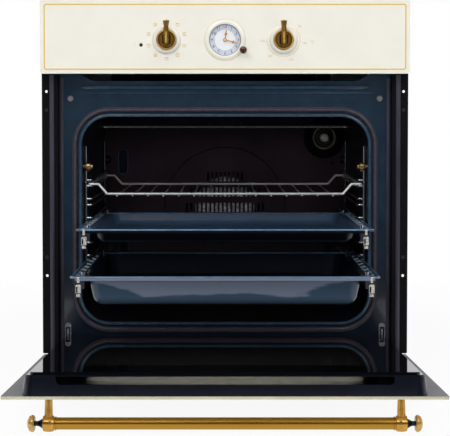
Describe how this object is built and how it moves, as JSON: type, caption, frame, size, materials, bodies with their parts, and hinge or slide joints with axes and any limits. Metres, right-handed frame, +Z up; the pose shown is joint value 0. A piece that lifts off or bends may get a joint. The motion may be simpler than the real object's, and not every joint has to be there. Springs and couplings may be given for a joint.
{
  "type": "built-in oven",
  "caption": "Retro built-in electric oven with a drop-down door, brass bar handle, knobs and clock, pulled-out enamel trays and a wire rack.",
  "frame": {"origin": "middle of the casing's underside, where it stands on the niche shelf", "axes": "+X to the viewer's right, the front faces -Y, +Z up"},
  "size_m": [0.595, 0.998, 0.6121],
  "materials": {
    "cream_paint": "gloss",
    "navy_enamel": "gloss",
    "black_enamel": "gloss",
    "dark_trim": "satin",
    "galvanised_sheet": "satin",
    "chrome_wire": "polished",
    "runner_steel": "satin",
    "heater_steel": "satin",
    "aged_brass": "satin",
    "brass_stud": "satin",
    "bronze_ball": "gloss",
    "aluminium_fan": "satin",
    "motor_steel": "satin",
    "door_glass": "gloss",
    "clear_glass": "gloss",
    "window_glass": "gloss",
    "seal_rubber": "matt",
    "dial_plate": "satin",
    "black_plastic": "matt",
    "pilot_plastic": "gloss",
    "mineral_wool": "matt"
  },
  "bodies": {
    "oven": {"casing_base": "galvanised_sheet", "casing_top": "galvanised_sheet", "casing_sides": "galvanised_sheet", "casing_back": "galvanised_sheet", "side_trims": "dark_trim", "trim_plugs": "black_plastic", "front_frame": "navy_enamel", "door_bumpers": "seal_rubber", "cavity": "navy_enamel", "door_gasket": "seal_rubber", "insulation_wrap": "mineral_wool", "fan_baffle": "black_enamel", "baffle_screws": "runner_steel", "fan_motor": "motor_steel", "ring_element": "heater_steel", "grill_element": "heater_steel", "bottom_element": "heater_steel", "lamp_holder": "runner_steel", "lamp_lens": "clear_glass", "side_rack_left": "chrome_wire", "side_rack_right": "chrome_wire", "rack_studs": "brass_stud", "guide_rails": "runner_steel", "control_panel": "cream_paint", "knob_collars": "cream_paint", "function_switch": "black_plastic", "thermostat": "black_plastic", "clock_housing": "black_plastic", "clock_dial": "dial_plate", "clock_bezel": "cream_paint", "clock_glass": "clear_glass", "indicator_lamp": "pilot_plastic", "hinge_hooks": "runner_steel", "hinge_receivers": "runner_steel", "blower_housing": "galvanised_sheet", "mains_inlet": "black_plastic"},
    "door": {"door_outer_panel": "cream_paint", "door_window": "window_glass", "door_liner": "black_enamel", "door_inner_glass": "door_glass", "door_middle_glass": "clear_glass", "hinge_leaves": "runner_steel", "handle_bar": "aged_brass", "handle_brackets": "aged_brass", "handle_finials": "aged_brass"},
    "lower_runner": {"lower_middle_rails": "runner_steel"},
    "lower_shelf": {"lower_carriage": "runner_steel", "lower_tray": "navy_enamel"},
    "upper_runner": {"upper_middle_rails": "runner_steel"},
    "upper_shelf": {"upper_carriage": "runner_steel", "upper_tray": "navy_enamel"},
    "grid_shelf": {"wire_rack": "chrome_wire"},
    "function_knob": {"function_knob": "aged_brass"},
    "temperature_knob": {"temperature_knob": "aged_brass"},
    "minute_hand": {"minute_hand": "brass_stud"},
    "hour_hand": {"hour_hand": "brass_stud"},
    "clock_stem": {"clock_stem": "runner_steel"},
    "clock_button": {"clock_button": "bronze_ball"},
    "convection_fan": {"convection_fan": "aluminium_fan"},
    "blower_rotor": {"blower_rotor": "aluminium_fan"}
  },
  "joints": [
    {"name": "door_hinge", "type": "hinge", "parent": "oven", "child": "door", "pos_m": [0, -0.274, 0.034], "axis": [1, 0, 0], "range_deg": [-87.3, 0]},
    {"name": "lower_runner_slide", "type": "slide", "parent": "oven", "child": "lower_runner", "axis": [0, 1, 0], "range_m": [0, 0.2795]},
    {"name": "lower_shelf_slide", "type": "slide", "parent": "lower_runner", "child": "lower_shelf", "axis": [0, 1, 0], "range_m": [0, 0.279]},
    {"name": "upper_runner_slide", "type": "slide", "parent": "oven", "child": "upper_runner", "axis": [0, 1, 0], "range_m": [0, 0.1945]},
    {"name": "upper_shelf_slide", "type": "slide", "parent": "upper_runner", "child": "upper_shelf", "axis": [0, 1, 0], "range_m": [0, 0.194]},
    {"name": "grid_shelf_slide", "type": "slide", "parent": "oven", "child": "grid_shelf", "axis": [0, -1, 0], "range_m": [0, 0.22]},
    {"name": "function_knob_turn", "type": "hinge", "parent": "oven", "child": "function_knob", "pos_m": [-0.094, -0.2945, 0.531], "axis": [0, 1, 0], "continuous": true},
    {"name": "temperature_knob_turn", "type": "hinge", "parent": "oven", "child": "temperature_knob", "pos_m": [0.094, -0.2945, 0.531], "axis": [0, 1, 0], "range_deg": [0, 285]},
    {"name": "minute_hand_turn", "type": "hinge", "parent": "oven", "child": "minute_hand", "pos_m": [0, -0.2945, 0.531], "axis": [0, 1, 0], "continuous": true},
    {"name": "hour_hand_turn", "type": "hinge", "parent": "oven", "child": "hour_hand", "pos_m": [0, -0.2945, 0.531], "axis": [0, 1, 0], "continuous": true},
    {"name": "clock_button_press", "type": "slide", "parent": "oven", "child": "clock_stem", "axis": [0, 1, 0], "range_m": [0, 0.002], "stiffness_N_per_m": 600, "springref_m": -0.001},
    {"name": "clock_button_turn", "type": "hinge", "parent": "clock_stem", "child": "clock_button", "pos_m": [0.0293, -0.3055, 0.5145], "axis": [0, 1, 0], "continuous": true},
    {"name": "convection_fan_spin", "type": "hinge", "parent": "oven", "child": "convection_fan", "pos_m": [0, 0.2, 0.2305], "axis": [0, 1, 0], "continuous": true},
    {"name": "blower_spin", "type": "hinge", "parent": "oven", "child": "blower_rotor", "pos_m": [0, -0.0295, 0.464], "axis": [1, 0, 0], "continuous": true}
  ],
  "couplings": [
    {"joint": "lower_runner_slide", "follows": "door_hinge", "m_per_rad": -0.18311},
    {"joint": "upper_runner_slide", "follows": "door_hinge", "m_per_rad": -0.12732},
    {"joint": "hour_hand_turn", "follows": "minute_hand_turn", "ratio": 0.083333}
  ]
}
